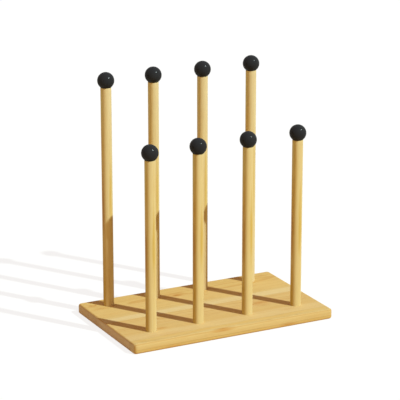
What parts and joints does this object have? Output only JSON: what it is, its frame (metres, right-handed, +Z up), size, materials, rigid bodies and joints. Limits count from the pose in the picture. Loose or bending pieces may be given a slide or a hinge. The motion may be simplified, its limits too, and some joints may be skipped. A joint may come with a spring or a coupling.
{
  "type": "shoe rack",
  "caption": "Free-standing wooden peg rack for boots and shoes: a thick pine board with a short front row and a tall back row of round posts, each topped by a black ball.",
  "frame": {"origin": "centre of the board's underside, where the rack rests on the floor", "axes": "+Z up along the posts; +X along the rows of posts; +Y from the short front row to the tall back row"},
  "size_m": [0.472, 0.285, 0.5367],
  "materials": {
    "board_pine": "clear satin lacquer on pine",
    "post_pine": "clear satin lacquer on pine",
    "black_paint": "satin black paint on turned wood",
    "beech": "bare",
    "zinc_steel": "bright zinc plate"
  },
  "bodies": {
    "root": {"board_stave_1": "board_pine", "board_stave_2": "board_pine", "board_stave_3": "board_pine", "board_stave_4": "board_pine", "board_stave_5": "board_pine", "board_stave_6": "board_pine", "short_post_1": "post_pine", "short_knob_1": "black_paint", "short_post_2": "post_pine", "short_knob_2": "black_paint", "short_post_3": "post_pine", "short_knob_3": "black_paint", "short_post_4": "post_pine", "short_knob_4": "black_paint", "tall_post_1": "post_pine", "tall_knob_1": "black_paint", "tall_post_2": "post_pine", "tall_knob_2": "black_paint", "tall_post_3": "post_pine", "tall_knob_3": "black_paint", "tall_post_4": "post_pine", "tall_knob_4": "black_paint", "knob_dowels": "beech", "post_screws": "zinc_steel"}
  },
  "joints": []
}
